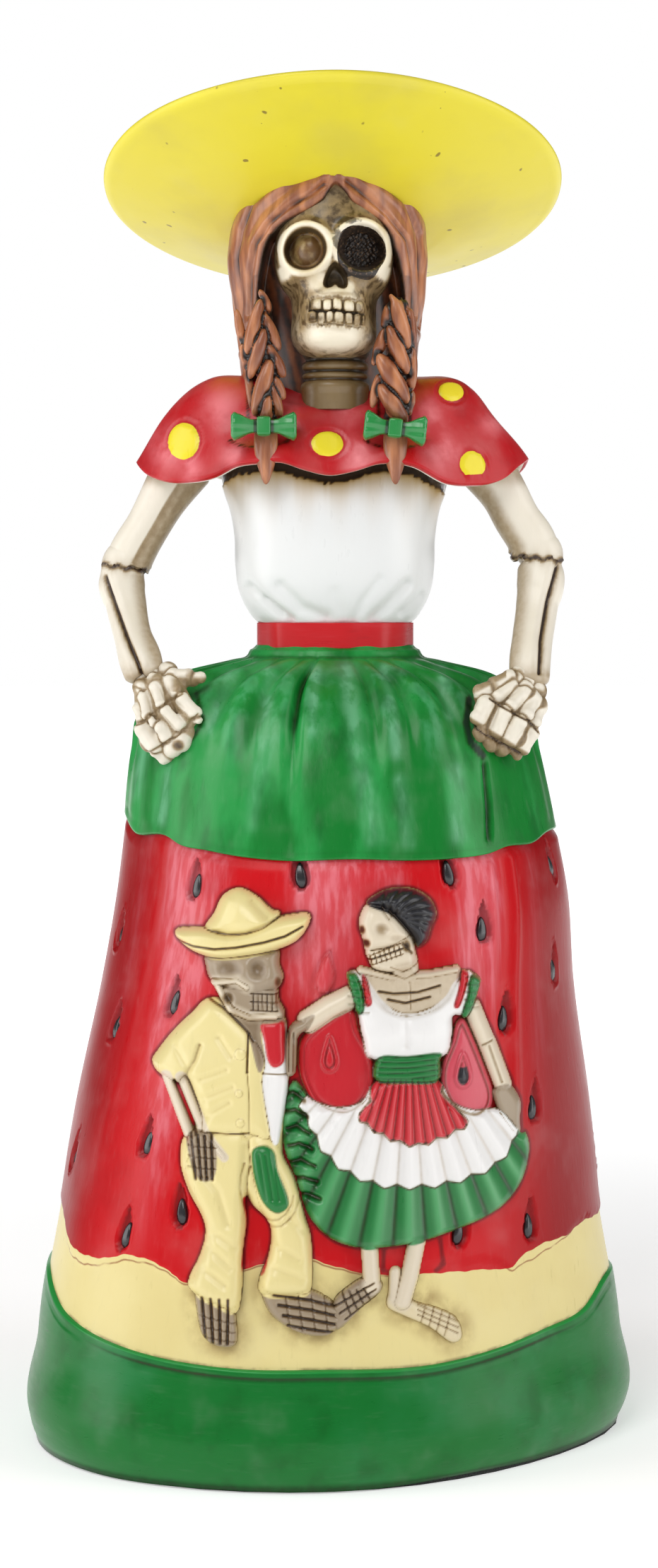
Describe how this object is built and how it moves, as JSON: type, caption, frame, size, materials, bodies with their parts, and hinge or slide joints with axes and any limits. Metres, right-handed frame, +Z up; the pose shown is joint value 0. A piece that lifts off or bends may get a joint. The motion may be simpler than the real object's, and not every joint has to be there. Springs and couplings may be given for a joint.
{
  "type": "day of the dead skeleton figure",
  "caption": "Painted resin skeleton lady in a watermelon dress, with wide hat, braids and ruffled collar, holding her skirt out, and skeleton dancers in relief on its front",
  "frame": {"origin": "centre of the footprint on the surface the figure stands on", "axes": "+Z up, the figure faces -Y, +X to the viewer's right"},
  "size_m": [0.127, 0.117, 0.2773],
  "materials": {
    "painted_resin": "hand painted, satin to semi-gloss",
    "felt": "matt felt"
  },
  "bodies": {
    "root": {"figurine": "painted_resin", "felt_pad": "felt"}
  },
  "joints": []
}
